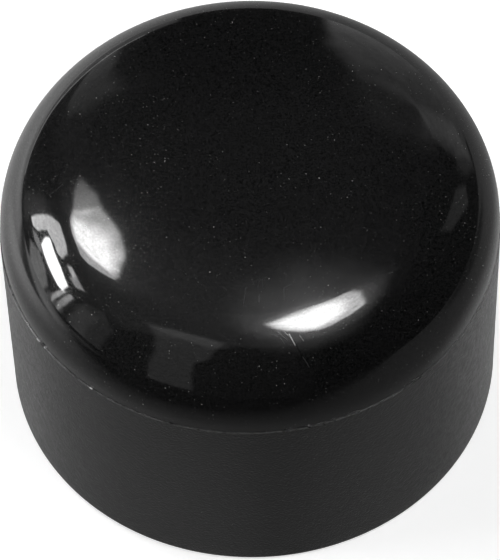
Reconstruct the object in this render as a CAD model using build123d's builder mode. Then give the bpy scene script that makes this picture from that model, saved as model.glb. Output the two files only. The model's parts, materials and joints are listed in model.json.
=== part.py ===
from build123d import *
import os
from math import acos, cos, degrees, radians, sin, tan

# Push-on end cap for a round steel tube, moulded in one piece.
# A polished shallow dome stands on an upright satin skirt, and the tube goes up inside the skirt.
# Millimetres. The origin is the centre of the rim's plane, and +Z runs up through the crown.

# Tube and wall
tube_diameter = 48.3      # outside diameter of the tube, gripped line to line by the bore
dome_wall = 2.3           # wall thickness all over the dome, measured square to its surface

# Skirt
skirt_height = 25.3       # rim to parting line
skirt_draft = 0.72        # degrees that the skirt's outside leans out towards its rim
parting_step = 0.12       # how far the skirt stands proud of the dome at the parting line
parting_break = 0.05      # small flat that breaks the edge along the top of that step
rim_round = 0.6           # outer edge of the rim
mouth_height = 1.0        # lead-in chamfer at the mouth of the bore, along the axis
mouth_angle = 30.0        # degrees between that chamfer and the axis

# Dome, outside surface
land_height = 0.8         # upright land between the parting line and the shoulder
shoulder_radius = 10.0    # round that turns the wall in towards the crown
crown_radius = 82.0       # shallow dish that closes the top

# Radii and heights that follow from the sizes above
bore_radius = tube_diameter / 2
dome_radius = bore_radius + dome_wall
skirt_top_radius = dome_radius + parting_step
rim_radius = skirt_top_radius + skirt_height * tan(radians(skirt_draft))
mouth_radius = bore_radius + mouth_height * tan(radians(mouth_angle))
shoulder_height = skirt_height + land_height

# The shoulder's arc and the crown's arc share a tangent where both have this slope.
# Shoulder and crown keep their centres for the inside, so the wall is even right across the dome.
shoulder_centre = dome_radius - shoulder_radius
blend_angle = acos(shoulder_centre / (crown_radius - shoulder_radius))
crown_centre_height = shoulder_height - (crown_radius - shoulder_radius) * sin(blend_angle)


def shoulder_point(radius, angle):
    """Point of an arc about the shoulder's centre, its angle measured up from the horizontal."""
    return (shoulder_centre + radius * cos(angle), shoulder_height + radius * sin(angle))


def dome_line(start, wall):
    """Draw the dome from the foot of its shoulder to the axis, set in from the outside by a wall."""
    shoulder = shoulder_radius - wall
    foot = shoulder_point(shoulder, 0)
    middle = shoulder_point(shoulder, blend_angle / 2)
    blend = shoulder_point(shoulder, blend_angle)
    Line(start, foot)
    ThreePointArc(foot, middle, blend)
    CenterArc(
        (0, crown_centre_height),
        crown_radius - wall,
        degrees(blend_angle),
        90 - degrees(blend_angle),
    )
    return (0, crown_centre_height + crown_radius - wall)


# Half section, revolved once about the axis
with BuildPart() as end_cap:
    with BuildSketch(Plane.XZ) as section:
        with BuildLine():
            outer_top = dome_line((dome_radius, skirt_height), 0)
            inner_top = dome_line((bore_radius, mouth_height), dome_wall)
            Line(outer_top, inner_top)
            Polyline(
                (bore_radius, mouth_height),
                (mouth_radius, 0),
                (rim_radius, 0),
                (skirt_top_radius, skirt_height),
                (dome_radius, skirt_height),
            )
        make_face()
    revolve(axis=Axis.Z)

    # Outer edge of the rim, then the edge of the skirt where it stands proud of the dome
    circles = end_cap.edges().filter_by(GeomType.CIRCLE)
    rim_circles = circles.filter_by_position(Axis.Z, 0, 0)
    fillet(rim_circles.sort_by(Edge.radius)[-1], radius=rim_round)

    circles = end_cap.edges().filter_by(GeomType.CIRCLE)
    parting_circles = circles.filter_by_position(Axis.Z, skirt_height, skirt_height)
    chamfer(parting_circles.sort_by(Edge.radius)[-1], length=parting_break)

end_cap.part.label = "end_cap"

os.makedirs("parts", exist_ok=True)
export_step(end_cap.part, "parts/end_cap.step")

overall_height = crown_centre_height + crown_radius
print(f"across the rim {2 * rim_radius:.2f} mm, height {overall_height:.2f} mm")
print(f"bore {2 * bore_radius:.2f} mm, straight for {shoulder_height - mouth_height:.2f} mm")
print(f"crown meets shoulder {degrees(blend_angle):.1f} degrees up from the horizontal")
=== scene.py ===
"""Looks for a moulded tube end cap: a polished dome over a satin skirt, on its rim on a pale table."""

import json
import math
import random

import bmesh
import bpy
from bpy.props import FloatProperty, FloatVectorProperty, IntProperty, PointerProperty
from mathutils import Matrix, Vector


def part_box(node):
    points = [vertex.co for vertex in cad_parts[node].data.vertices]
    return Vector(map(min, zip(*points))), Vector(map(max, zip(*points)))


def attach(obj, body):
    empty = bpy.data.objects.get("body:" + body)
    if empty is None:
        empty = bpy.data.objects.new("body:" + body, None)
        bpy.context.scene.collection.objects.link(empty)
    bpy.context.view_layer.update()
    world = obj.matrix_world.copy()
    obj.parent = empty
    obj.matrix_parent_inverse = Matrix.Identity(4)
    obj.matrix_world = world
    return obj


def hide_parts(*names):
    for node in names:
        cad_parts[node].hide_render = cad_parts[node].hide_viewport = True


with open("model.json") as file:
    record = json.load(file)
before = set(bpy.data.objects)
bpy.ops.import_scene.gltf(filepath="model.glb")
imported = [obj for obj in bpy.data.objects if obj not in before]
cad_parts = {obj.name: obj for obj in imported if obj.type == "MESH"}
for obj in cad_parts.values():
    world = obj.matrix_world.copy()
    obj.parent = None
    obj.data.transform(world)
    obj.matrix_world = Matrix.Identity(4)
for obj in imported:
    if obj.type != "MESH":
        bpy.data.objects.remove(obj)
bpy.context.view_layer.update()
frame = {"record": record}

bl_info = {
    "name": "Tube End Cap",
    "version": (1, 0, 0),
    "blender": (4, 5, 0),
    "location": "3D View > Sidebar > End Cap",
    "description": "Builds the visible end cap, its moulding flash and the table and lamps around it",
    "category": "Object",
}

MM = 0.001
NODE = "end_cap"
BODY = "root"

# Sizes that the frame states itself
TUBE_BORE = next(mount for mount in frame["record"]["mounts"] if mount["name"] == "tube_bore")
BORE_RADIUS = TUBE_BORE["dims"]["r_mm"] * MM


# Settings


def length(name, description, default):
    """Setting for a length in metres."""
    return FloatProperty(name=name, description=description, default=default, unit="LENGTH", precision=5)


def angle(name, description, degrees):
    """Setting for an angle."""
    return FloatProperty(name=name, description=description, default=math.radians(degrees), unit="ROTATION")


def factor(name, description, default):
    """Setting from 0 to 1."""
    return FloatProperty(name=name, description=description, default=default, subtype="FACTOR", min=0, max=1)


def colour(name, description, default):
    """Setting for a colour."""
    return FloatVectorProperty(
        name=name, description=description, default=default, subtype="COLOR", size=4, min=0, max=1,
    )


class CapSizes(bpy.types.PropertyGroup):
    """Sizes of the moulding. The wall, the bore and the heights are the construction model's own."""

    bore_radius: length("Bore radius", "Inside of the skirt, where the tube goes", BORE_RADIUS)
    dome_wall: length("Dome wall", "Thickness of the wall all over the dome", 2.3 * MM)
    skirt_height: length("Skirt height", "Rim to parting line", 25.3 * MM)
    skirt_draft: angle("Skirt draft", "How far the skirt leans out towards its rim", 0.72)
    parting_step: length("Parting step", "How far the skirt stands proud of the dome", 0.12 * MM)
    parting_break: length(
        "Parting break", "Small flat along the top edge of the parting step", 0.05 * MM
    )
    rim_round: length("Rim round", "Radius of the rim's outer edge", 0.6 * MM)
    mouth_height: length("Mouth height", "Height of the lead-in chamfer of the bore", 1.0 * MM)
    mouth_angle: angle("Mouth angle", "Angle between the lead-in chamfer and the axis", 30)
    land_height: length("Land height", "Upright land between parting line and shoulder", 0.8 * MM)
    shoulder_radius: length(
        "Shoulder radius", "Round that turns the wall in towards the crown", 10.0 * MM
    )
    crown_radius: length("Crown radius", "Radius of the shallow dish on top", 82.0 * MM)
    sides: IntProperty(
        name="Sides", description="Faces round the axis", default=384, min=48, max=512,
    )


class FlashSizes(bpy.types.PropertyGroup):
    """Sizes of the thin slivers that the mould's joint leaves along the parting line."""

    reach: length("Reach", "How far the tallest sliver stands out from the wall", 0.16 * MM)
    thickness: length("Thickness", "Thickness of a sliver at its root", 0.05 * MM)


class FinishLook(bpy.types.PropertyGroup):
    """Colours and finishes of the moulded plastic."""

    plastic: colour("Plastic", "Colour of the plastic itself", (0.0022, 0.0022, 0.0023, 1))
    bloom: colour(
        "Bloom", "Colour of the faint uneven bloom on the satin skirt", (0.023, 0.023, 0.023, 1)
    )
    dust: colour("Dust", "Colour of the settled dust", (0.40, 0.40, 0.39, 1))
    # A scratch's colour is partly its own and partly a painted glint of lamp light
    scratch: colour("Scratch", "Colour of a scratch that went through the polish", (0.8, 0.8, 0.8, 1))
    glint: colour(
        "Glint", "Colour of the fine rubbing marks under the polish", (0.014, 0.014, 0.014, 1)
    )
    polish: factor("Polish", "Roughness of the polished dome", 0.05)
    haze: factor("Haze", "Roughness of the worn layer under the polish", 0.25)
    satin: factor("Satin", "Roughness of the satin skirt", 0.38)
    inside: factor("Inside", "Roughness inside the cap", 0.5)


class StudioSetup(bpy.types.PropertyGroup):
    """Table and camera."""

    table_colour: colour("Table", "Colour of the table", (0.62, 0.62, 0.62, 1))
    view_elevation: angle("View elevation", "Height of the camera above the horizon", 54.68)
    view_roll: angle("View roll", "Tilt of the camera about its own line of sight", -1.68)
    view_distance: length("View distance", "Camera to the middle of the parting line", 348.6 * MM)
    aim_drop: length(
        "Aim drop", "How far below the parting line's middle the camera aims, across the view",
        6.31 * MM,
    )
    lens: FloatProperty(
        name="Lens", description="Focal length in millimetres on a 36 mm sensor", default=211.0,
        unit="CAMERA",
    )


# Node trees

NODE_GAP = 220


def feed(node, inputs):
    """Set a node's inputs. Each value is a constant, or a socket of another node to link from."""
    for name, value in inputs.items():
        if isinstance(value, bpy.types.NodeSocket):
            node.id_data.links.new(value, node.inputs[name])
        else:
            node.inputs[name].default_value = value


def put(tree, kind, inputs=None, **fields):
    """Add a node with its fields and inputs set."""
    made = tree.nodes.new(kind)
    made.location = (NODE_GAP * len(tree.nodes), 0)
    for name, value in fields.items():
        setattr(made, name, value)
    feed(made, inputs or {})
    return made


def sums(tree, operation, first, second=0.0, third=0.0):
    """Value of one arithmetic step on numbers or sockets."""
    return put(tree, "ShaderNodeMath", {0: first, 1: second, 2: third}, operation=operation).outputs[0]


def strongest(tree, masks):
    """Highest of several masks at each place."""
    highest = 0.0
    for mask in masks:
        highest = sums(tree, "MAXIMUM", mask, highest)
    return highest


def vectors(tree, operation, first, second=(0, 0, 0), output="Vector"):
    """Value of one step on vectors or vector sockets."""
    return put(tree, "ShaderNodeVectorMath", {0: first, 1: second}, operation=operation).outputs[output]


def scaled(tree, vector, share):
    """Vector or colour times a number."""
    made = put(tree, "ShaderNodeVectorMath", {0: vector, "Scale": share}, operation="SCALE")
    return made.outputs["Vector"]


def split(tree, vector):
    """The three parts of a vector."""
    return put(tree, "ShaderNodeSeparateXYZ", {"Vector": vector}).outputs[:]


def object_place(tree):
    """Place on the object, in metres."""
    return put(tree, "ShaderNodeTexCoord").outputs["Object"]


def noise(tree, place, size, detail, roughness=0.5):
    """Noise from 0 to 1 whose largest features are one size across, a number or a socket, in metres."""
    scale = 1 / size if isinstance(size, float) else sums(tree, "DIVIDE", 1.0, size)
    inputs = {"Vector": place, "Scale": scale, "Detail": detail, "Roughness": roughness}
    return put(tree, "ShaderNodeTexNoise", inputs).outputs["Fac"]


def cells(tree, place, spacing):
    """Node of cells around scattered points, a spacing apart."""
    density = sums(tree, "DIVIDE", 1.0, spacing)
    return put(tree, "ShaderNodeTexVoronoi", {"Vector": place, "Scale": density})


def ramp(tree, value, start, end, low=0.0, high=1.0, eased=True):
    """Value that goes from low to high as another runs from start to end."""
    made = put(
        tree, "ShaderNodeMapRange",
        {"Value": value, "From Min": start, "From Max": end, "To Min": low, "To Max": high},
        interpolation_type="SMOOTHSTEP" if eased else "LINEAR",
    )
    return made.outputs["Result"]


def bump(tree, height, distance):
    """Normal of a relief, whose height of 1 stands for a distance."""
    inputs = {"Height": height, "Strength": 1.0, "Distance": distance}
    return put(tree, "ShaderNodeBump", inputs).outputs["Normal"]


def blend_colour(tree, mask, first, second):
    """Colour that turns from first to second where the mask is 1."""
    return put(tree, "ShaderNodeMix", {0: mask, 6: first, 7: second}, data_type="RGBA").outputs[2]


def grey(level):
    """Colour of one grey level."""
    return (level, level, level, 1.0)


# Effects, as shader node groups


def start_group(name, inputs, outputs):
    """Empty shader node group. Inputs have defaults, which are numbers or vectors; outputs are numbers."""
    tree = bpy.data.node_groups.new(name, "ShaderNodeTree")
    for label, default in inputs.items():
        kind = "NodeSocketVector" if isinstance(default, tuple) else "NodeSocketFloat"
        socket = tree.interface.new_socket(label, in_out="INPUT", socket_type=kind)
        socket.default_value = default
    for label in outputs:
        tree.interface.new_socket(label, in_out="OUTPUT", socket_type="NodeSocketFloat")
    return tree, put(tree, "NodeGroupInput").outputs, put(tree, "NodeGroupOutput")


def effect(tree, group, inputs, output="Mask"):
    """Place a node group into a material with its own values, and give one of its outputs."""
    return put(tree, "ShaderNodeGroup", inputs, node_tree=group).outputs[output]


def dust_group():
    """Specks of dust: a mask of small discs, thinly and unevenly scattered over the surface."""
    tree, given, result = start_group(
        "Settled Dust", {"Spacing": 1.0 * MM, "Speck": 0.06 * MM, "Seed": 0.0}, ["Mask"]
    )
    smallest, soft_edge, patch_size = 0.4, 0.35, 6.25 * MM
    place = object_place(tree)
    spots = cells(tree, vectors(tree, "ADD", place, given["Seed"]), given["Spacing"]).outputs
    distance = sums(tree, "MULTIPLY", spots["Distance"], given["Spacing"])
    chance = put(tree, "ShaderNodeSeparateColor", {"Color": spots["Color"]}).outputs["Red"]
    size = sums(tree, "MULTIPLY", given["Speck"], sums(tree, "ADD", chance, smallest))
    depth = sums(tree, "DIVIDE", sums(tree, "SUBTRACT", size, distance), given["Speck"])
    thick = ramp(tree, noise(tree, place, patch_size, 3.0), 0.44, 0.58, low=0.25)
    feed(result, {"Mask": sums(tree, "MULTIPLY", ramp(tree, depth, 0.0, soft_edge), thick)})
    return tree


def hairline_group():
    """Fine rubbing marks: a mask of thin broken lines that run one way."""
    tree, given, result = start_group(
        "Rubbing Marks", {"Turn": 0.0, "Spacing": 0.5 * MM, "Length": 12.0, "Rarity": 0.6}, ["Mask"]
    )
    nearly_upright, soft_edge = (0.35, 0.25, 1.0), 0.12
    turned = put(
        tree, "ShaderNodeVectorRotate",
        {"Vector": object_place(tree), "Axis": nearly_upright, "Angle": given["Turn"]},
        rotation_type="AXIS_ANGLE",
    )
    along, across, upward = split(tree, turned.outputs["Vector"])
    shortened = sums(tree, "DIVIDE", along, given["Length"])
    drawn_out = put(tree, "ShaderNodeCombineXYZ", {"X": shortened, "Y": across, "Z": upward})
    lines = noise(tree, drawn_out.outputs["Vector"], given["Spacing"], 1.0, roughness=0.4)
    whole = sums(tree, "ADD", given["Rarity"], soft_edge)
    feed(result, {"Mask": ramp(tree, lines, given["Rarity"], whole)})
    return tree


def scratch_group():
    """One scratch on the dome: a straight line between two places given in plan, as a mask."""
    tree, given, result = start_group(
        "Single Scratch", {"Start": (0, 0, 0), "End": (0, 0, 0), "Width": 0.08 * MM}, ["Mask"]
    )
    full_width = 0.3
    place = vectors(tree, "MULTIPLY", object_place(tree), (1, 1, 0))
    run = vectors(tree, "SUBTRACT", given["End"], given["Start"])
    offset = vectors(tree, "SUBTRACT", place, given["Start"])
    along = sums(
        tree, "DIVIDE",
        vectors(tree, "DOT_PRODUCT", offset, run, "Value"),
        vectors(tree, "DOT_PRODUCT", run, run, "Value"),
    )
    held = put(tree, "ShaderNodeClamp", {"Value": along}).outputs["Result"]
    foot = scaled(tree, run, held)
    gap = vectors(tree, "LENGTH", vectors(tree, "SUBTRACT", offset, foot), output="Value")
    widths = sums(tree, "DIVIDE", gap, given["Width"])
    feed(result, {"Mask": sums(tree, "SUBTRACT", 1.0, ramp(tree, widths, full_width, 1.0))})
    return tree


def skin_group():
    """Skin of a moulding: slow waves from uneven shrinkage under a finer orange peel, as a height."""
    tree, given, result = start_group(
        "Moulded Skin", {"Wave": 7.0 * MM, "Peel": 0.9 * MM, "Peel Share": 0.1}, ["Height"]
    )
    place = object_place(tree)
    waves = noise(tree, place, given["Wave"], 1.0)
    fine = sums(tree, "MULTIPLY", noise(tree, place, given["Peel"], 2.0), given["Peel Share"])
    feed(result, {"Height": sums(tree, "ADD", waves, fine)})
    return tree


def draw_mark_group():
    """Marks of drawing the skirt from the mould: streaks up the wall as a height, small pits as a mask."""
    tree, given, result = start_group(
        "Draw Marks", {"Streak": 1.2 * MM, "Pit Spacing": 1.6 * MM}, ["Streaks", "Pits"]
    )
    shortening, pit_edges = 0.06, (0.10, 0.04)
    place = object_place(tree)
    across, away, upward = split(tree, place)
    low = sums(tree, "MULTIPLY", upward, shortening)
    drawn_out = put(tree, "ShaderNodeCombineXYZ", {"X": across, "Y": away, "Z": low})
    streaks = noise(tree, drawn_out.outputs["Vector"], given["Streak"], 3.0, roughness=0.6)
    pits = cells(tree, place, given["Pit Spacing"]).outputs["Distance"]
    feed(result, {"Streaks": streaks, "Pits": ramp(tree, pits, *pit_edges)})
    return tree


# Materials


def start_material(name):
    """New material with an empty node tree."""
    made = bpy.data.materials.new(name)
    made.use_nodes = True
    made.node_tree.nodes.clear()
    return made, made.node_tree


def finish_material(made, shader):
    """Give a material its surface."""
    put(made.node_tree, "ShaderNodeOutputMaterial", {"Surface": shader})
    return made


def principled(tree, inputs):
    """Principled shader with its inputs set."""
    return put(tree, "ShaderNodeBsdfPrincipled", inputs).outputs["BSDF"]


# Dust on the dome in two layers: spacing and speck in millimetres, seed, and strength
DOME_DUST = (
    (0.6, 0.042, 0.0, 1.0),
    (0.36, 0.03, 0.37, 0.5),
)

# Scratches on the dome: start and end in plan and width, in millimetres, and how pale each is. The
# paleness is partly the scratch's own and partly a painted glint of lamp light
SCRATCHES = (
    ((2.5, -20.7), (3.4, -21.4), 0.05, 0.05),
    ((3.0, -20.6), (3.5, -21.0), 0.06, 0.15),
    ((1.9, -20.9), (2.5, -21.1), 0.05, 0.02),
    ((2.7, -21.2), (3.1, -21.7), 0.05, 0.03),
    ((3.6, -20.9), (4.15, -21.8), 0.07, 0.45),
    ((4.6, -20.9), (5.0, -21.4), 0.07, 0.10),
    ((4.9, -22.7), (5.5, -23.4), 0.05, 0.04),
    ((-20.6, -3.0), (-19.2, -2.1), 0.05, 0.02),
    ((-0.9, -17.9), (-0.6, -16.1), 0.07, 0.020),
    ((0.7, -17.7), (0.7, -16.9), 0.07, 0.030),
    ((3.2, -17.5), (3.2, -16.2), 0.07, 0.025),
    ((3.2, -16.2), (4.0, -15.8), 0.07, 0.020),
    ((0.2, -16.1), (0.2, -15.5), 0.06, 0.012),
    ((0.6, -16.1), (0.7, -15.4), 0.06, 0.012),
    ((1.1, -16.2), (1.1, -15.2), 0.06, 0.012),
    ((0.0, -15.5), (1.5, -15.1), 0.06, 0.010),
)

# Dark marks in the polish, a hair shape and a gouge: width, and the places that each runs through in
# plan, in millimetres
DARK_MARKS = (
    (0.13, ((-14.9, 8.3), (-14.9, 7.4), (-15.5, 6.0), (-15.9, 5.4), (-15.9, 4.5), (-15.7, 3.6))),
    (0.11, ((4.2, -21.8), (4.9, -22.7))),
)

# Rubbing marks: turn in radians, spacing in millimetres, length against spacing, rarity and depth
RUBBING = (
    (0.2, 0.12, 5.0, 0.60, 0.10),
    (0.9, 0.13, 5.0, 0.60, 0.10),
    (1.6, 0.12, 6.0, 0.60, 0.10),
    (2.4, 0.13, 5.0, 0.60, 0.10),
    (0.5, 0.15, 8.0, 0.70, 0.15),
    (1.3, 0.16, 8.0, 0.70, 0.15),
    (2.1, 0.15, 8.0, 0.70, 0.15),
)

# Shares of the clear skin that dust and scratches cover, that dark marks cut and that the grain pits
COVER_SHARE = 0.9
CUT_SHARE = 0.7
PIT_SHARE = 0.12

# How rough dust leaves the plastic and how much of that a scratch does, how metallic rubbing marks
# glint, and how deep a scratch is against a full rubbing mark
WORN_ROUGHNESS = 0.85
SCRATCH_WEAR = 0.6
GLINT_METAL = 0.5
SCRATCH_DEPTH = 0.5

# Size of the dome's grain, and how many times paler it leaves the plastic up to one height and from
# another, which paints light on the top of the crown
DOME_GRAIN = 0.13 * MM
PAINTED_LIGHT_HEIGHTS = (34.2 * MM, 36.0 * MM)
PAINTED_LIGHT_PALENESS = (3.4, 4.6)


def line_mask(tree, groups, start, end, width):
    """Mask of one straight mark on the dome, from one place in plan to another, in millimetres."""
    return effect(tree, groups["scratch"], {
        "Start": (start[0] * MM, start[1] * MM, 0),
        "End": (end[0] * MM, end[1] * MM, 0),
        "Width": width * MM,
    })


def dome_specks(tree, groups):
    """Mask of the dust on the dome."""
    layers = []
    for spacing, speck, seed, strength in DOME_DUST:
        inputs = {"Spacing": spacing * MM, "Speck": speck * MM, "Seed": seed}
        layers.append(sums(tree, "MULTIPLY", effect(tree, groups["dust"], inputs), strength))
    return strongest(tree, layers)


def dome_lines(tree, groups):
    """Masks of the dome's pale scratches, partly painted glints, and of its dark marks."""
    pale = [
        sums(tree, "MULTIPLY", line_mask(tree, groups, start, end, width), paleness)
        for start, end, width, paleness in SCRATCHES
    ]
    dark = [
        line_mask(tree, groups, start, end, width)
        for width, places in DARK_MARKS
        for start, end in zip(places, places[1:])
    ]
    return strongest(tree, pale), strongest(tree, dark)


def dome_rubbing(tree, groups):
    """Mask of the dome's rubbing marks, and how deep they are."""
    lines, depths = [], []
    for turn, spacing, reach, rarity, depth in RUBBING:
        inputs = {"Turn": turn, "Spacing": spacing * MM, "Length": reach, "Rarity": rarity}
        lines.append(effect(tree, groups["hairline"], inputs))
        depths.append(sums(tree, "MULTIPLY", lines[-1], depth))
    return strongest(tree, lines), strongest(tree, depths)


def polished_material(look, groups):
    """Polished dome: black plastic under a clear skin, with dust, scratches, dark marks, rubbing and painted
    light.
    """
    made, tree = start_material("polished_plastic")
    specks = dome_specks(tree, groups)
    scratches_and_painted_glints, darkened = dome_lines(tree, groups)
    lined, rubbing_and_painted_light = dome_rubbing(tree, groups)

    place = object_place(tree)
    uneven = ramp(tree, noise(tree, place, DOME_GRAIN, 0.0), 0.46, 0.56)
    # Painted light: the plastic turns paler towards the top of the crown, over its grain
    paleness = ramp(tree, split(tree, place)[2], *PAINTED_LIGHT_HEIGHTS, *PAINTED_LIGHT_PALENESS)
    plastic = scaled(tree, look.plastic[:3], sums(tree, "MULTIPLY", uneven, paleness))
    glinting = blend_colour(tree, lined, plastic, look.glint)
    dusty = blend_colour(tree, specks, glinting, look.dust)

    worn = sums(tree, "MAXIMUM", specks, sums(tree, "MULTIPLY", scratches_and_painted_glints, SCRATCH_WEAR))
    covered = sums(tree, "MULTIPLY", sums(tree, "MAXIMUM", specks, scratches_and_painted_glints), COVER_SHARE)
    covered = sums(tree, "MAXIMUM", covered, sums(tree, "MULTIPLY", darkened, CUT_SHARE))
    pitted = sums(tree, "MULTIPLY_ADD", uneven, -PIT_SHARE, 1.0)

    skin_inputs = {"Wave": 8.0 * MM, "Peel": 1.1 * MM, "Peel Share": 0.05}
    skin = effect(tree, groups["skin"], skin_inputs, "Height")
    cut = sums(tree, "MULTIPLY", scratches_and_painted_glints, -SCRATCH_DEPTH)
    marks = sums(tree, "ADD", cut, sums(tree, "MULTIPLY", rubbing_and_painted_light, -1.0))
    return finish_material(made, principled(tree, {
        # Scratches are painted pale, partly as glints of lamp light
        "Base Color": blend_colour(tree, scratches_and_painted_glints, dusty, look.scratch),
        "Metallic": sums(tree, "MULTIPLY", lined, GLINT_METAL),
        "Roughness": ramp(tree, worn, 0.0, 1.0, look.haze, WORN_ROUGHNESS, eased=False),
        "Specular IOR Level": 0.026,
        "Coat Weight": sums(tree, "MULTIPLY", pitted, sums(tree, "SUBTRACT", 1.0, covered)),
        "Coat Roughness": look.polish,
        "Coat IOR": 1.5,
        "Normal": bump(tree, sums(tree, "ADD", skin, marks), 0.005 * MM),
    }))


def satin_material(look, groups):
    """Satin skirt: the same plastic from a dull cavity, with bloom, streaks, pits and a little dust."""
    made, tree = start_material("satin_plastic")
    unevenness, dusty_roughness, streak_height, pit_depth = 0.1, 0.8, 0.008, 0.8
    dust_inputs = {"Spacing": 0.8 * MM, "Speck": 0.045 * MM, "Seed": 0.71}
    dust = effect(tree, groups["dust"], dust_inputs)
    grain = noise(tree, object_place(tree), 0.8 * MM, 4.0, roughness=0.9)
    bloomed = ramp(tree, grain, 0.40, 0.62, 0.3, 0.9)
    plastic = blend_colour(tree, bloomed, look.plastic, look.bloom)
    rough = ramp(tree, grain, 0.38, 0.62, look.satin - unevenness, look.satin + unevenness)

    skin_inputs = {"Wave": 6.0 * MM, "Peel": 0.22 * MM, "Peel Share": 2.6}
    skin = effect(tree, groups["skin"], skin_inputs, "Height")
    draw_inputs = {"Streak": 1.4 * MM, "Pit Spacing": 1.7 * MM}
    marks = put(tree, "ShaderNodeGroup", draw_inputs, node_tree=groups["draw_mark"]).outputs
    streaked = sums(tree, "ADD", skin, sums(tree, "MULTIPLY", marks["Streaks"], streak_height))
    relief = sums(tree, "ADD", streaked, sums(tree, "MULTIPLY", marks["Pits"], -pit_depth))
    return finish_material(made, principled(tree, {
        "Base Color": blend_colour(tree, dust, plastic, look.dust),
        "Roughness": sums(tree, "MAXIMUM", rough, sums(tree, "MULTIPLY", dust, dusty_roughness)),
        "Specular IOR Level": 0.42,
        "Sheen Weight": 0.33,
        "Sheen Roughness": 0.28,
        "Normal": bump(tree, relief, 0.03 * MM),
    }))


def inside_material(look, groups):
    """Inside of the cap: plain dull plastic with a coarser skin."""
    made, tree = start_material("inside_plastic")
    skin_range, paler = (0.4, 0.9), 1.6
    skin_inputs = {"Wave": 4.0 * MM, "Peel": 0.4 * MM, "Peel Share": 0.3}
    skin = effect(tree, groups["skin"], skin_inputs, "Height")
    lighter = [min(1.0, value * paler) for value in look.plastic[:3]] + [1.0]
    return finish_material(made, principled(tree, {
        "Base Color": blend_colour(tree, ramp(tree, skin, *skin_range), look.plastic, lighter),
        "Roughness": ramp(tree, skin, *skin_range, look.inside - 0.05, look.inside + 0.08),
        "Normal": bump(tree, skin, 0.04 * MM),
    }))


def torn_material(look, groups):
    """Torn plastic of the flash and of the ledge that it was torn from: its pale tone is partly painted
    light along the parting line, painted paler still towards the right.
    """
    made, tree = start_material("torn_plastic")
    # Painted light: the torn plastic turns paler towards the right, to match the brighter walls of the cap
    # beside it there
    painted_light_from, painted_light_to = 17 * MM, 26.5 * MM
    skin_inputs = {"Wave": 0.6 * MM, "Peel": 0.1 * MM, "Peel Share": 0.5}
    skin = effect(tree, groups["skin"], skin_inputs, "Height")
    torn_tone_and_painted_light = blend_colour(tree, ramp(tree, skin, 0.45, 0.85), look.plastic, grey(0.06))
    rubbing_and_painted_light = ramp(tree, split(tree, object_place(tree))[0], painted_light_from, painted_light_to)
    return finish_material(made, principled(tree, {
        "Base Color": blend_colour(tree, rubbing_and_painted_light, torn_tone_and_painted_light, grey(0.2)),
        "Roughness": ramp(tree, skin, 0.4, 0.9, 0.2, 0.45),
    }))


def painted_glint_material():
    """Painted glints: plastic painted white at the tips of the flash."""
    made, tree = start_material("whitened_plastic")
    uneven_glint = ramp(tree, noise(tree, object_place(tree), 0.1 * MM, 2.0), 0.3, 0.7)
    white = blend_colour(tree, uneven_glint, grey(0.45), grey(0.8))
    return finish_material(made, principled(tree, {"Base Color": white, "Roughness": 0.35}))


def cap_materials():
    """The cap's materials by finish, made with the groups that they share when first asked for."""
    if "polished_plastic" not in bpy.data.materials:
        look = bpy.context.scene.end_cap_look
        groups = {
            "dust": dust_group(),
            "hairline": hairline_group(),
            "scratch": scratch_group(),
            "skin": skin_group(),
            "draw_mark": draw_mark_group(),
        }
        for make in (polished_material, satin_material, inside_material, torn_material):
            make(look, groups)
        painted_glint_material()
    finishes = ("polished", "satin", "inside", "torn", "whitened")
    return {finish: bpy.data.materials[finish + "_plastic"] for finish in finishes}


# Moulding

ON_AXIS = 1e-7


def ease(value):
    """Smooth step from 0 to 1."""
    held = min(1.0, max(0.0, value))
    return held * held * (3 - 2 * held)


def link_object(name, data):
    """New object in the scene."""
    made = bpy.data.objects.new(name, data)
    bpy.context.collection.objects.link(made)
    return made


def release(name, shape):
    """Turn a finished bmesh into an object, its faces looking outwards."""
    bmesh.ops.recalc_face_normals(shape, faces=shape.faces)
    data = bpy.data.meshes.new(name)
    shape.to_mesh(data)
    shape.free()
    return link_object(name, data)


def arc(centre, radius, start, end, steps):
    """Points of an arc from one angle to another, angles measured up from the horizontal."""
    turns = [start + (end - start) * step / steps for step in range(steps + 1)]
    return [(centre[0] + radius * math.cos(turn), centre[1] + radius * math.sin(turn)) for turn in turns]


def line(start, end, steps):
    """Points of a straight run from one place to another."""
    return [
        (start[0] + (end[0] - start[0]) * step / steps, start[1] + (end[1] - start[1]) * step / steps)
        for step in range(steps + 1)
    ]


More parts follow.
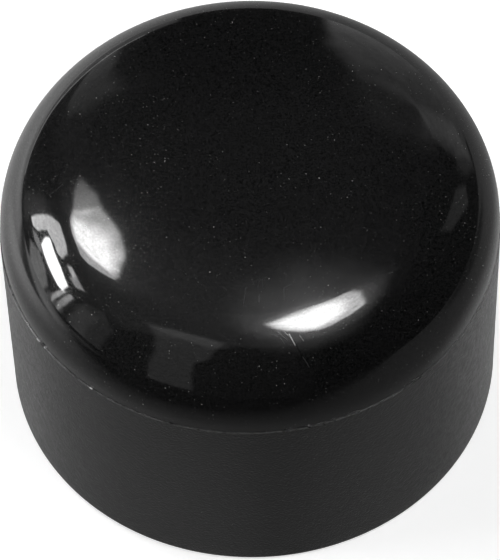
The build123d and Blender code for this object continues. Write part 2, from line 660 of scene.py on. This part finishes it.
def cap_section(sizes):
    """Half section as stretches, from the crown's underside out round the rim and back over the dome.

    Each stretch is (finish, whether its start is a crisp edge, points).
    """
    dome_radius = sizes.bore_radius + sizes.dome_wall
    skirt_top = dome_radius + sizes.parting_step
    lean = sizes.skirt_draft
    rim_radius = skirt_top + sizes.skirt_height * math.tan(lean)
    mouth_radius = sizes.bore_radius + sizes.mouth_height * math.tan(sizes.mouth_angle)
    shoulder_height = sizes.skirt_height + sizes.land_height
    shoulder = (dome_radius - sizes.shoulder_radius, shoulder_height)
    rise = sizes.crown_radius - sizes.shoulder_radius
    blend = math.acos(shoulder[0] / rise)
    crown = (0.0, shoulder_height - rise * math.sin(blend))
    top = math.pi / 2

    inner_crown = arc(crown, sizes.crown_radius - sizes.dome_wall, top, blend, steps=14)
    inner_shoulder = arc(shoulder, sizes.shoulder_radius - sizes.dome_wall, blend, 0, steps=20)
    bore_top, bore_foot = (sizes.bore_radius, shoulder_height), (sizes.bore_radius, sizes.mouth_height)
    mouth = (mouth_radius, 0.0)
    round_centre = rim_radius - sizes.rim_round * (1 + math.sin(lean)) / math.cos(lean)
    rim_edge = arc((round_centre, sizes.rim_round), sizes.rim_round, -top, lean, steps=8)
    break_foot = sizes.skirt_height - sizes.parting_break
    wall_top = (skirt_top + sizes.parting_break * math.tan(lean), break_foot)
    ledge_edge = (skirt_top - sizes.parting_break, sizes.skirt_height)
    ledge_root = (dome_radius, sizes.skirt_height)
    witness_top = (dome_radius, sizes.skirt_height + sizes.parting_step)
    return [
        ("inside", False, inner_crown),
        ("inside", False, inner_shoulder),
        ("inside", False, line(bore_top, bore_foot, steps=8)),
        ("inside", True, line(bore_foot, mouth, steps=1)),
        ("satin", True, line(mouth, rim_edge[0], steps=2)),
        ("satin", False, rim_edge),
        ("satin", False, line(rim_edge[-1], wall_top, steps=16)),
        ("torn", True, line(wall_top, ledge_edge, steps=1)),
        ("torn", True, line(ledge_edge, ledge_root, steps=1)),
        ("torn", True, line(ledge_root, witness_top, steps=1)),
        ("polished", False, line(witness_top, (dome_radius, shoulder_height), steps=8)),
        ("polished", False, arc(shoulder, sizes.shoulder_radius, 0, blend, steps=64)),
        ("polished", False, arc(crown, sizes.crown_radius, blend, top, steps=40)),
    ]


def ring(mesh, radius, height, sides):
    """Vertices of one circle about the axis, or the one vertex on it."""
    if radius < ON_AXIS:
        return [mesh.verts.new((0, 0, height))]
    turns = [2 * math.pi * side / sides for side in range(sides)]
    return [mesh.verts.new((radius * math.cos(turn), radius * math.sin(turn), height)) for turn in turns]


def lathe(name, stretches, sides, order):
    """Turn a half section about the axis into one closed mesh with a material for each finish."""
    shape = bmesh.new()
    last = ring(shape, *stretches[0][2][0], sides)
    for finish, crisp, points in stretches:
        crisp_ring = last if crisp else None
        for radius, height in points[1:]:
            here = ring(shape, radius, height, sides)
            for side in range(sides):
                after = (side + 1) % sides
                corners = [last[side % len(last)], last[after % len(last)]]
                corners += [here[after % len(here)], here[side % len(here)]]
                face = shape.faces.new(dict.fromkeys(corners))
                face.material_index = order.index(finish)
                face.smooth = True
            last = here
        if crisp_ring:
            for side in range(sides):
                edge = shape.edges.get((crisp_ring[side], crisp_ring[(side + 1) % sides]))
                edge.smooth = False
    return release(name, shape)


# The satin finish climbs over the parting line on the right: millimetres at most, and the degrees away
# from the right where it ends and where it is full
DULL_FOOT = 0.5
DULL_TURNS = (-42.0, -28.0)

# Most that the moulding may differ from the construction model in height
HEIGHT_TOLERANCE = 0.05 * MM


def dull_foot(cap, sizes, order):
    """Give the foot of the land the satin finish on the right, where the joint was dressed."""
    low, high = [math.radians(turn) for turn in DULL_TURNS]
    polished, satin = order.index("polished"), order.index("satin")
    foot = sizes.skirt_height + sizes.parting_step
    for face in cap.data.polygons:
        turn = -abs(math.atan2(face.center.y, face.center.x))
        share = ease((turn - low) / (high - low))
        limit = foot + DULL_FOOT * MM * share
        if share > 0 and face.material_index == polished and face.center.z < limit:
            face.material_index = satin


class ENDCAP_OT_mould_cap(bpy.types.Operator):
    """Build the moulding with its polished, satin, inside and torn finishes"""

    bl_idname = "end_cap.mould_cap"
    bl_label = "Mould Cap"

    def execute(self, context):
        order = ["polished", "satin", "inside", "torn"]
        sizes = context.scene.end_cap_sizes
        cap = lathe("moulded_cap", cap_section(sizes), sizes.sides, order)
        low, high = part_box(NODE)
        if abs(cap.dimensions.z - (high.z - low.z)) > HEIGHT_TOLERANCE:
            raise RuntimeError("the moulding and the construction model differ in height")
        dull_foot(cap, sizes, order)
        materials = cap_materials()
        for finish in order:
            cap.data.materials.append(materials[finish])
        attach(cap, BODY)
        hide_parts(NODE)
        return {"FINISHED"}


# Stretches of flash along the parting line: middle and width in degrees, and height as a share of the
# reach
FLASH = (
    (-145.6, 1.6, 0.5),
    (-88.5, 3.2, 0.3),
    (-83.0, 1.8, 0.7),
    (-79.5, 3.6, 0.9),
    (-75.2, 3.0, 1.0),
    (-72.6, 1.4, 0.9),
    (-67.6, 3.2, 0.8),
    (-52.0, 6.0, 0.3),
    (-28.0, 5.0, 0.3),
    (12.0, 4.0, 0.5),
    (57.0, 7.0, 0.4),
    (101.0, 3.0, 0.8),
    (139.0, 5.0, 0.45),
    (171.0, 3.0, 0.6),
)

# Short stretches of it with glints painted on them in white, given the same way
GLINT_FLASH = (
    (-147.2, 1.2, 0.8),
    (-144.6, 0.7, 0.5),
    (-129.3, 0.8, 0.5),
)

# How a sliver grows: share of the parting step that its root stands in, height of the root, least lift
# of the tip and what its reach adds, all three against the thickness, least reach that tearing leaves
# and what chance adds, and the power that squares its outline
FLASH_SEED = 48
ROOT_SHARE = 0.3
ROOT_HEIGHT = 1.6
LIFT_LEAST = 0.6
LIFT_GAIN = 1.6
TORN_LEAST = 0.55
TORN_CHANCE = 0.45
SQUARENESS = 0.6
STEPS_PER_DEGREE = 5
LEAST_STEPS = 6


def flash_sliver(shape, stretch, finish, sizes, cap, chance):
    """Add one sliver: a thin wedge that grows out of the step and tears off unevenly."""
    middle, width, share = stretch
    steps = max(LEAST_STEPS, round(width * STEPS_PER_DEGREE))
    root_radius = cap.bore_radius + cap.dome_wall + ROOT_SHARE * cap.parting_step
    root_low = cap.skirt_height - sizes.thickness
    root_high = root_low + ROOT_HEIGHT * sizes.thickness
    rows = []
    for step in range(steps + 1):
        across = step / steps
        turn = math.radians(middle + (across - 0.5) * width)
        torn = TORN_LEAST + TORN_CHANCE * chance.random()
        swell = math.sin(math.pi * across)
        out = cap.parting_step * (1 - ROOT_SHARE) + sizes.reach * share * torn * swell ** SQUARENESS
        lift = sizes.thickness * (LIFT_LEAST + LIFT_GAIN * share * torn * swell)
        tip = (root_radius + out, cap.skirt_height + lift)
        profile = [(root_radius, root_low), (root_radius, root_high), tip]
        rows.append([
            shape.verts.new((radius * math.cos(turn), radius * math.sin(turn), height))
            for radius, height in profile
        ])
    for left, right in zip(rows, rows[1:]):
        for low in range(3):
            high = (low + 1) % 3
            face = shape.faces.new((left[low], right[low], right[high], left[high]))
            face.material_index = finish
    for end in (rows[0], reversed(rows[-1])):
        shape.faces.new(end).material_index = finish


class ENDCAP_OT_leave_flash(bpy.types.Operator):
    """Leave thin torn slivers of plastic along the parting line"""

    bl_idname = "end_cap.leave_flash"
    bl_label = "Leave Flash"

    def execute(self, context):
        chance = random.Random(FLASH_SEED)
        shape = bmesh.new()
        sizes, cap = context.scene.end_cap_flash, context.scene.end_cap_sizes
        for finish, stretches in enumerate((FLASH, GLINT_FLASH)):
            for stretch in stretches:
                flash_sliver(shape, stretch, finish, sizes, cap, chance)
        flash = release("parting_flash", shape)
        materials = cap_materials()
        for finish in ("torn", "whitened"):
            flash.data.materials.append(materials[finish])
        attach(flash, BODY)
        return {"FINISHED"}


# Stage

CARD_DISTANCE = 1.6
CARD_GAP = 4 * MM
CARD_CENTRE = Vector((0, 0, 30 * MM))

# Cells that a card is divided into: least size in degrees, and how many at most along its longer side
CARD_CELL = 0.4
CARD_CELLS = 64

# Unevenness of a card's light: size of its patches, and how dark and bright they are
CLOTH_PATCH = 1 / 14
CLOTH_SHADES = (0.82, 1.18)

# Share gained towards the left and the top by a card that is lit evenly
EVEN = (0.0, 0.0)

# Lit shapes that the polish mirrors: lamps, a window, a door, walls and the table's far edge. Each is
# (name, brightness, softness of its edge in degrees, share gained towards its left and its top, outline
# as azimuth and elevation in degrees)
CARDS = (
    ("lamp_left_cloth", 7.8, 0.6, EVEN, (
        (-38.2, 54.2), (-39, 57), (-40.5, 60), (-43, 62), (-46, 63.7), (-52, 64.4), (-65, 63.6),
        (-75, 61), (-76, 56.6), (-75, 50.4), (-72, 48.2), (-66, 48.2), (-61, 47.2), (-55, 47.4),
        (-49.5, 48.7), (-43.5, 50.4), (-41.4, 52.3), (-39.7, 53.2),
    )),
    ("lamp_left_tip", 3.8, 0.6, (0.45, 0.45), (
        (-35.2, 46.8), (-35.9, 49.5), (-36.1, 51.5), (-38, 54.4), (-39.8, 53.8), (-42, 52.8), (-44, 50.6),
        (-41.5, 50.1), (-39.2, 49), (-37.5, 48),
    )),
    ("lamp_left_core", 15.0, 3.0, EVEN, (
        (-44.5, 53.2), (-43, 56), (-44, 59.5), (-47.5, 62.6), (-53, 63.4), (-67, 61), (-66, 54),
        (-62, 49), (-55, 49), (-49, 50.5),
    )),
    ("lamp_right_cloth", 10.0, 2.0, EVEN, (
        (162, 81), (137, 83), (80, 82.5), (70, 80), (68, 75), (68, 72.5), (72, 71), (84, 68), (100, 63),
        (108, 58.7), (118, 58.7), (132, 59), (140, 59.5), (147, 63), (155, 69), (161, 75),
    )),
    ("lamp_right_core", 16.0, 5.0, EVEN, (
        (128, 82), (100, 80.5), (80, 77.5), (82, 74), (100, 69), (113, 65), (126, 63), (138, 63),
        (146, 66), (151, 72), (152, 79),
    )),
    ("lamp_right_spill", 1.25, 15.0, EVEN, (
        (180, 85), (0, 88), (10, 82), (35, 76), (55, 71), (84, 63), (105, 57), (122, 54), (140, 55),
        (155, 59), (168, 67), (178, 76),
    )),
    ("lamp_right_rim", 1.9, 6.0, EVEN, ((150, 84), (60, 83), (48, 79), (56, 76), (66, 76), (90, 83))),
    ("lamp_left_spill", 0.15, 8.0, EVEN, (
        (-60, 46), (-62, 42), (-76, 44), (-86, 50), (-86, 58), (-74, 64), (-76, 50),
    )),
    ("lamp_right_haze", 0.9, 28.0, EVEN, ((126, 58), (136, 49), (150, 49), (160, 56), (150, 66))),
    ("window_pane", 26.0, 0.5, EVEN, (
        (-73, 22), (-73, 26.5), (-85, 26.5), (-94, 23), (-95, 15), (-93, 13.5), (-86, 14), (-76, 15),
    )),
    ("window_frame", 9.5, 0.5, EVEN, (
        (-66, 9), (-65, 20), (-63, 32.5), (-63, 39), (-67, 40), (-72, 40), (-77, 38), (-81, 31.5),
        (-79, 29), (-75, 29), (-70, 25.5), (-71, 15), (-69, 10),
    )),
    ("window_corner", 8.0, 1.0, EVEN, ((-84, 33), (-84, 36.5), (-89, 36), (-90, 32))),
    ("window_blind", 5.0, 1.6, EVEN, ((-90, 29.5), (-89, 36), (-97, 34), (-95, 29))),
    ("window_slat_near", 6.0, 1.0, (0.0, 0.5), (
        (-93.5, 2), (-94.5, 15), (-96, 18), (-96, 8), (-94.5, -6),
    )),
    ("window_slat_far", 4.0, 1.2, (0.0, 0.5), ((-97, 2), (-97.5, 20), (-99.5, 20), (-100, 8), (-98, -8))),
    ("window_post_foot", 0.9, 3.0, EVEN, ((-89, -15), (-92, 2), (-100, 2), (-100, -15))),
    ("window_ledge", 2.6, 1.6, EVEN, (
        (-70, 8.5), (-72, 13), (-76, 15), (-80, 14), (-78, 11), (-74, 8.5),
    )),
    ("window_sill", 1.9, 2.2, (0.2, 0.0), (
        (-73, 3), (-78, 10.5), (-85, 9.5), (-90, 2.5), (-89, -9.5), (-84, -9.5), (-79, -6),
    )),
    ("window_reveal", 0.25, 4.0, EVEN, ((-58, 0), (-58, 24), (-66, 34), (-66, 0))),
    ("wall_behind", 0.27, 2.2, (0.25, 0.0), (
        (11, -5), (11, 29), (17, 35), (26, 36), (38, 35), (46, 27), (51, 18), (52, 0), (42, -5),
    )),
    ("wall_left", 0.13, 2.2, (0.9, 0.1), ((11, -5), (11, 28), (17, 32), (26, 28), (29, -5))),
    ("wall_beam", 0.26, 5.0, EVEN, ((29, 34), (32, 40), (40, 31), (47, 18), (49, 4), (43, 4), (37, 21))),
    ("wall_head", 0.1, 5.0, EVEN, ((16, 36), (22, 43), (34, 43), (42, 36), (30, 32))),
    ("wall_right", 0.24, 2.5, EVEN, (
        (60, 12), (60, 24), (66, 30), (73, 35), (75, 25), (70, 17), (66, 9),
    )),
    ("wall_gap", 0.16, 4.0, EVEN, ((49, -3), (48, 16), (54, 19), (57, 10), (54, -3))),
    ("door_behind", 0.3, 3.0, (-0.15, -0.3), (
        (-19, 3), (-19, 35), (-26, 36), (-33, 26), (-32, 16), (-24, 5),
    )),
    ("door_spill", 0.06, 9.0, EVEN, ((-36, 5), (-15, 3), (-16, 36), (-34, 42), (-40, 28))),
    ("table_edge", 1.7, 0.8, EVEN, (
        (-52, -3.6), (-36, -1.0), (-24, 3.2), (-14, 5.0), (-14, 5.8), (-24, 4.4), (-36, 0.2), (-52, -2.6),
    )),
    ("table_beyond", 0.36, 1.0, (0.3, 0.0), (
        (-54, -9), (-52, -3.6), (-36, -1.0), (-24, 3.2), (-14, 5.0), (-9, 4.0), (-8, -9), (-30, -10),
    )),
    ("card_front", 0.33, 1.5, (0.0, 0.1), (
        (-124, 51), (-131, 57.5), (-141, 59.4), (-154, 60), (-162.5, 56.5), (-160, 37), (-155, 29.5),
        (-157, -4), (-140, -4.5), (-138.8, 10), (-138, 30), (-131, 45.5),
    )),
    ("card_front_top", 0.33, 4.0, EVEN, (
        (-121, 51), (-124, 55), (-135, 60), (-150, 61), (-163, 59), (-166, 53), (-158, 50), (-143, 53),
        (-131, 51),
    )),
    ("card_left", 0.22, 2.0, EVEN, ((-103, -18), (-103, 28), (-110, 34), (-120, 24), (-120, -12))),
    ("card_left_fold", 0.26, 4.0, EVEN, ((-103, -16), (-104, 22), (-112, 26), (-112, -16))),
)


def towards(azimuth, elevation):
    """Unit vector for degrees round from the far side, positive to the right, and degrees up."""
    turn, climb = math.radians(azimuth), math.radians(elevation)
    return Vector((math.sin(turn) * math.cos(climb), math.cos(turn) * math.cos(climb), math.sin(climb)))


def local_axes(middle):
    """Sideways and upward unit vectors of a sheet that faces the cap from one direction."""
    side = Vector((0, 0, 1)).cross(middle).normalized()
    return side, middle.cross(side)


def flatten(direction, middle, axes):
    """Degrees sideways and upward from the middle direction to another."""
    turn = math.degrees(middle.angle(direction))
    across, upward = direction.dot(axes[0]), direction.dot(axes[1])
    full = math.hypot(across, upward) or 1.0
    return (turn * across / full, turn * upward / full)


def unflatten(spot, middle, axes):
    """Direction at some degrees sideways and upward from the middle direction."""
    full = math.hypot(*spot) or 1e-9
    across = (axes[0] * spot[0] + axes[1] * spot[1]) / full
    return middle * math.cos(math.radians(full)) + across * math.sin(math.radians(full))


def depth_inside(spot, outline):
    """Distance from a spot to an outline, positive inside it."""
    inside = False
    nearest = math.inf
    for (x0, y0), (x1, y1) in zip(outline, outline[1:] + outline[:1]):
        if (y0 > spot[1]) != (y1 > spot[1]):
            crossing = x0 + (spot[1] - y0) / (y1 - y0) * (x1 - x0)
            inside ^= spot[0] < crossing
        run_x, run_y = x1 - x0, y1 - y0
        along = ((spot[0] - x0) * run_x + (spot[1] - y0) * run_y) / (run_x ** 2 + run_y ** 2)
        along = min(1.0, max(0.0, along))
        nearest = min(nearest, math.hypot(spot[0] - x0 - along * run_x, spot[1] - y0 - along * run_y))
    return nearest if inside else -nearest


def card_material(name, level):
    """Material that adds uneven light to what is behind it, shaped by the glow written on its mesh."""
    made, tree = start_material(name)
    shape = put(tree, "ShaderNodeAttribute", attribute_name="glow").outputs["Color"]
    cloth = noise(tree, object_place(tree), CLOTH_PATCH, 4.0, roughness=0.65)
    strength = ramp(tree, cloth, 0.3, 0.7, *[level * shade for shade in CLOTH_SHADES])
    glow = put(tree, "ShaderNodeEmission", {"Color": shape, "Strength": strength}).outputs["Emission"]
    clear = put(tree, "ShaderNodeBsdfTransparent").outputs["BSDF"]
    both = put(tree, "ShaderNodeAddShader", {0: glow, 1: clear})
    return finish_material(made, both.outputs["Shader"])


def glow_at(spot, outline, low, high, softness, gain):
    """Share of a card's light at one spot: eased out across the edge, and more where it gains."""
    leftward, upward = [2 * (spot[axis] - low[axis]) / (high[axis] - low[axis]) - 1 for axis in (0, 1)]
    share = max(0.0, 1 + gain[0] * leftward + gain[1] * upward)
    return share * ease(depth_inside(spot, outline) / softness + 0.5)


def add_card(distance, name, level, softness, gain, outline):
    """Lit sheet on a wide sphere about the cap, seen only in the polish."""
    corners = [towards(*corner) for corner in outline]
    middle = sum(corners, Vector()).normalized()
    axes = local_axes(middle)
    flat = [flatten(corner, middle, axes) for corner in corners]
    low = [min(corner[axis] for corner in flat) - softness for axis in (0, 1)]
    high = [max(corner[axis] for corner in flat) + softness for axis in (0, 1)]
    step = max(CARD_CELL, max(high[0] - low[0], high[1] - low[1]) / CARD_CELLS)
    columns, rows = [math.ceil((high[axis] - low[axis]) / step) + 1 for axis in (0, 1)]
    spots = [
        (low[0] + step * column, low[1] + step * row)
        for row in range(rows)
        for column in range(columns)
    ]
    glow = [glow_at(spot, flat, low, high, softness, gain) for spot in spots]
    faces = []
    for row in range(rows - 1):
        for column in range(columns - 1):
            first = row * columns + column
            face = (first, first + 1, first + columns + 1, first + columns)
            if max(glow[corner] for corner in face) > 0:
                faces.append(face)
    data = bpy.data.meshes.new(name)
    places = [CARD_CENTRE + unflatten(spot, middle, axes) * distance for spot in spots]
    data.from_pydata(places, [], faces)
    data.attributes.new("glow", "FLOAT", "POINT").data.foreach_set("value", glow)
    data.materials.append(card_material(name, level))
    card = link_object(name, data)
    card.visible_camera = False
    card.visible_diffuse = False
    card.visible_shadow = False


# Lamps that give the plain light: name, azimuth and elevation in degrees, width in metres and power in
# watts
LIGHTS = (
    ("left_light", (-53.0, 56.0), 0.60, 9.0),
    ("right_light", (120.0, 71.0), 0.60, 8.0),
    ("window_light", (-95.0, 10.0), 0.45, 17.0),
    ("wall_light", (85.0, 9.0), 0.45, 11.0),
)


def add_light(name, direction, width, power):
    """Soft lamp that lights surfaces but isn't mirrored itself, because a card stands for it there."""
    data = bpy.data.lights.new(name, "AREA")
    data.shape = "DISK"
    data.size = width
    data.energy = power
    middle = towards(*direction)
    lamp = link_object(name, data)
    place = Matrix.Translation(CARD_CENTRE + middle * CARD_DISTANCE)
    lamp.matrix_world = place @ (-middle).to_track_quat("-Z", "Y").to_matrix().to_4x4()
    lamp.visible_glossy = False


# Table as the camera sees it and as the polish mirrors it: own glow of each
SEEN_GLOW = 0.62
MIRRORED_GLOW = 0.75

# How much paler the grain of the table is than the table
GRAIN_PALENESS = 1.03

# Pools of light on the table that only the polish mirrors: centre and reach in millimetres, brightness
POOLS = (
    ((-98, 15, 0), 44, 0.7),
    ((-150, -20, 0), 45, 0.5),
    ((-205, -65, 0), 75, 0.35),
    ((42, 6, 0), 32, 0.2),
)

# Share of a pool's reach within which it is fully bright
POOL_CORE = 0.2

# Painted shade on it, a dark patch on the right and a dark line of shadow across its left: place and edges
# in millimetres
PATCH_CENTRE = (200, 20, 0)
PATCH_EDGES = (40, 90)
SHADOW_LINE_ACROSS = (0.475, 0.88, 0)
SHADOW_LINE_OFFSET = 57
SHADOW_LINE_EDGES = (8, 32)


def ramp_mm(tree, value, start, end, low=0.0, high=1.0, eased=True):
    """Ramp whose start and end are given in millimetres."""
    return ramp(tree, value, start * MM, end * MM, low, high, eased)


def spot_ramp(tree, place, centre, start, end, low, high):
    """Value eased from low to high as the distance from a centre goes from start to end, in millimetres."""
    offset = vectors(tree, "SUBTRACT", place, [side * MM for side in centre])
    distance = vectors(tree, "LENGTH", offset, output="Value")
    return ramp_mm(tree, distance, start, end, low, high)


def table_shade_group():
    """How bright the table is as the polish mirrors it: bright on the left, near black in front."""
    tree, given, result = start_group(
        "Table Shade", {"Left": 1.5, "Right": 0.24, "Front": 0.05, "Seam": 0.12}, ["Shade"]
    )
    falloff, slant, slant_end = 1.5, 0.5, -60 * MM
    place = object_place(tree)
    across, away, _ = split(tree, place)
    leftward = ramp_mm(tree, across, 30, -160, eased=False)
    far_back = ramp_mm(tree, away, 110, 230, 1.0, 0.55)
    left = sums(tree, "MULTIPLY", sums(tree, "POWER", leftward, falloff), far_back)
    shade = sums(tree, "MULTIPLY_ADD", left, given["Left"], given["Right"])

    frontward = sums(tree, "MULTIPLY_ADD", sums(tree, "MAXIMUM", across, slant_end), slant, away)
    front = ramp_mm(tree, frontward, -99, -34)
    near_left = ramp_mm(tree, across, -85, -50)
    near_right = ramp_mm(tree, across, 20, 80, 1.0, 0.6)
    near = sums(tree, "MULTIPLY", ramp_mm(tree, away, 40, -15, 0.0, 0.4), near_left)
    near = sums(tree, "SUBTRACT", 1.0, sums(tree, "MULTIPLY", near, near_right))
    patch = spot_ramp(tree, place, PATCH_CENTRE, *PATCH_EDGES, 0.25, 1.0)
    for share in (front, near, patch):
        shade = sums(tree, "MULTIPLY", shade, share)
    for centre, reach, brightness in POOLS:
        pool = spot_ramp(tree, place, centre, reach, POOL_CORE * reach, 0.0, brightness)
        shade = sums(tree, "ADD", shade, pool)

    # Painted shadow: a dark line across the left of the table
    shadow_line_side = vectors(tree, "DOT_PRODUCT", place, SHADOW_LINE_ACROSS, "Value")
    off_shadow_line = sums(tree, "ABSOLUTE", sums(tree, "ADD", shadow_line_side, SHADOW_LINE_OFFSET * MM))
    shadow_line_depth = ramp_mm(tree, off_shadow_line, *SHADOW_LINE_EDGES, 1.0, 0.0)
    shadow_line_reach = ramp_mm(tree, across, -110, -128)
    shadow_line_share = sums(tree, "SUBTRACT", 1.0, given["Seam"])
    darkened = sums(tree, "MULTIPLY", sums(tree, "MULTIPLY", shadow_line_depth, shadow_line_reach), shadow_line_share)
    shade = sums(tree, "MULTIPLY", shade, sums(tree, "SUBTRACT", 1.0, darkened))
    feed(result, {"Shade": sums(tree, "ADD", shade, given["Front"])})
    return tree


def seen_rays(path):
    """Value that is 1 for the rays that the camera sends, straight or through glass, and else 0."""
    rays = path.outputs["Is Camera Ray"], path.outputs["Is Transmission Ray"]
    return sums(path.id_data, "MAXIMUM", *rays)


def table_material(setup):
    """Pale table that the camera sees as white with the cap's shadow on it, and the polish as a painted map
    of light and shade.
    """
    made, tree = start_material("pale_table")
    path = put(tree, "ShaderNodeLightPath")
    glossy = path.outputs["Is Glossy Ray"]
    shade = effect(tree, table_shade_group(), {}, "Shade")
    mirrored = sums(tree, "MULTIPLY", glossy, sums(tree, "MULTIPLY", shade, MIRRORED_GLOW))
    grain = put(tree, "ShaderNodeTexNoise", {"Scale": 900.0, "Detail": 2.0}).outputs["Fac"]
    paler = [min(1.0, value * GRAIN_PALENESS) for value in setup.table_colour[:3]] + [1.0]
    top = blend_colour(tree, grain, setup.table_colour, paler)
    shader = principled(tree, {
        "Base Color": scaled(tree, top, sums(tree, "SUBTRACT", 1.0, glossy)),
        "Roughness": 0.9,
        "Specular IOR Level": 0.0,
        "Emission Color": sums(tree, "MULTIPLY_ADD", seen_rays(path), SEEN_GLOW, mirrored),
        "Emission Strength": 1.0,
    })
    below = put(tree, "ShaderNodeNewGeometry").outputs["Backfacing"]
    clear = put(tree, "ShaderNodeBsdfTransparent").outputs["BSDF"]
    sided = put(tree, "ShaderNodeMixShader", {0: below, 1: shader, 2: clear})
    return finish_material(made, sided.outputs["Shader"])


# Outline of the table top about the cap, in millimetres
TABLE_CORNERS = ((-420, -220), (260, -220), (320, 420), (-420, 420))


def add_table(setup):
    """Pale table top under the cap."""
    data = bpy.data.meshes.new("table")
    data.from_pydata([(x * MM, y * MM, 0) for x, y in TABLE_CORNERS], [], [(0, 1, 2, 3)])
    data.materials.append(table_material(setup))
    table = link_object("table", data)


# Middle of the glow on the ceiling, as azimuth and elevation in degrees, and how bright it is
CEILING_GLOW = (-130, 66)
CEILING_LEVEL = 0.17


def light_room():
    """Dim room with a glow on the ceiling to the left that ends in front, and a white backdrop."""
    world = bpy.data.worlds.new("dim_room")
    world.use_nodes = True
    tree = world.node_tree
    tree.nodes.clear()
    ray = put(tree, "ShaderNodeTexCoord").outputs["Generated"]
    across, away, _ = split(tree, ray)
    towards_glow = vectors(tree, "DOT_PRODUCT", ray, towards(*CEILING_GLOW), "Value")
    ceiling = ramp(tree, towards_glow, 0.74, 0.92, high=CEILING_LEVEL)
    frontward = sums(tree, "MULTIPLY_ADD", across, 0.2, away)
    lit = sums(tree, "MULTIPLY", ceiling, ramp(tree, frontward, -0.61, -0.53))
    walls = ramp(tree, away, 0.6, 0.88, 0.06, 0.01)
    shaded = sums(tree, "MULTIPLY", walls, ramp(tree, across, 0.2, 0.5, 1.0, 0.3))
    level = sums(tree, "ADD", lit, shaded)
    dim, white = [
        put(tree, "ShaderNodeBackground", {"Color": grey(1.0), "Strength": strength}).outputs["Background"]
        for strength in (level, 1.0)
    ]
    seen = seen_rays(put(tree, "ShaderNodeLightPath"))
    either = put(tree, "ShaderNodeMixShader", {0: seen, 1: dim, 2: white})
    put(tree, "ShaderNodeOutputWorld", {"Surface": either.outputs["Shader"]})
    bpy.context.scene.world = world


SENSOR_WIDTH = 36.0
CLIP_START = 10 * MM


def add_camera(setup, sizes):
    """Camera above and in front of the cap, aimed a little below the parting line."""
    climb, roll = setup.view_elevation, setup.view_roll
    back = Vector((0, -math.cos(climb), math.sin(climb)))
    across, upright = Vector((1, 0, 0)), Vector((0, math.sin(climb), math.cos(climb)))
    rolled_up = upright * math.cos(roll) - across * math.sin(roll)
    middle = Vector((0, 0, sizes.skirt_height))
    place = middle + back * setup.view_distance
    sight = (middle - rolled_up * setup.aim_drop - place).normalized()
    side = sight.cross(rolled_up).normalized()
    lift = side.cross(sight)
    data = bpy.data.cameras.new("view_camera")
    data.lens = setup.lens
    data.sensor_width = SENSOR_WIDTH
    data.clip_start = CLIP_START
    camera = link_object("view_camera", data)
    turn = Matrix((side, lift, -sight)).transposed()
    camera.matrix_world = Matrix.Translation(place) @ turn.to_4x4()
    bpy.context.scene.camera = camera


class ENDCAP_OT_set_stage(bpy.types.Operator):
    """Set the table, the lamps, the room and the camera around the cap"""

    bl_idname = "end_cap.set_stage"
    bl_label = "Set Stage"

    def execute(self, context):
        setup = context.scene.end_cap_studio
        add_table(setup)
        for index, card in enumerate(CARDS):
            add_card(CARD_DISTANCE + index * CARD_GAP, *card)
        for light in LIGHTS:
            add_light(*light)
        light_room()
        add_camera(setup, context.scene.end_cap_sizes)
        context.scene.view_settings.view_transform = "Standard"
        return {"FINISHED"}


class ENDCAP_PT_panel(bpy.types.Panel):
    """Sidebar panel with the cap's steps and sizes"""

    bl_idname = "ENDCAP_PT_panel"
    bl_label = "Tube End Cap"
    bl_space_type = "VIEW_3D"
    bl_region_type = "UI"
    bl_category = "End Cap"

    def draw(self, context):
        for operator in OPERATORS:
            self.layout.operator(operator.bl_idname)
        for attribute, group in GROUPS.items():
            box = self.layout.box()
            box.label(text=group.__doc__.split(".")[0])
            for name in group.__annotations__:
                box.prop(getattr(context.scene, attribute), name)


OPERATORS = (ENDCAP_OT_mould_cap, ENDCAP_OT_leave_flash, ENDCAP_OT_set_stage)
GROUPS = {
    "end_cap_sizes": CapSizes,
    "end_cap_flash": FlashSizes,
    "end_cap_look": FinishLook,
    "end_cap_studio": StudioSetup,
}


def register():
    for listed in (*GROUPS.values(), *OPERATORS, ENDCAP_PT_panel):
        bpy.utils.register_class(listed)
    for attribute, group in GROUPS.items():
        setattr(bpy.types.Scene, attribute, PointerProperty(type=group))


def unregister():
    for attribute in GROUPS:
        delattr(bpy.types.Scene, attribute)
    for listed in (ENDCAP_PT_panel, *reversed(OPERATORS), *GROUPS.values()):
        bpy.utils.unregister_class(listed)


def main():
    """Register the add-on and run its steps in order."""
    register()
    bpy.ops.end_cap.mould_cap()
    bpy.ops.end_cap.leave_flash()
    bpy.ops.end_cap.set_stage()


if __name__ == "__main__":
    main()
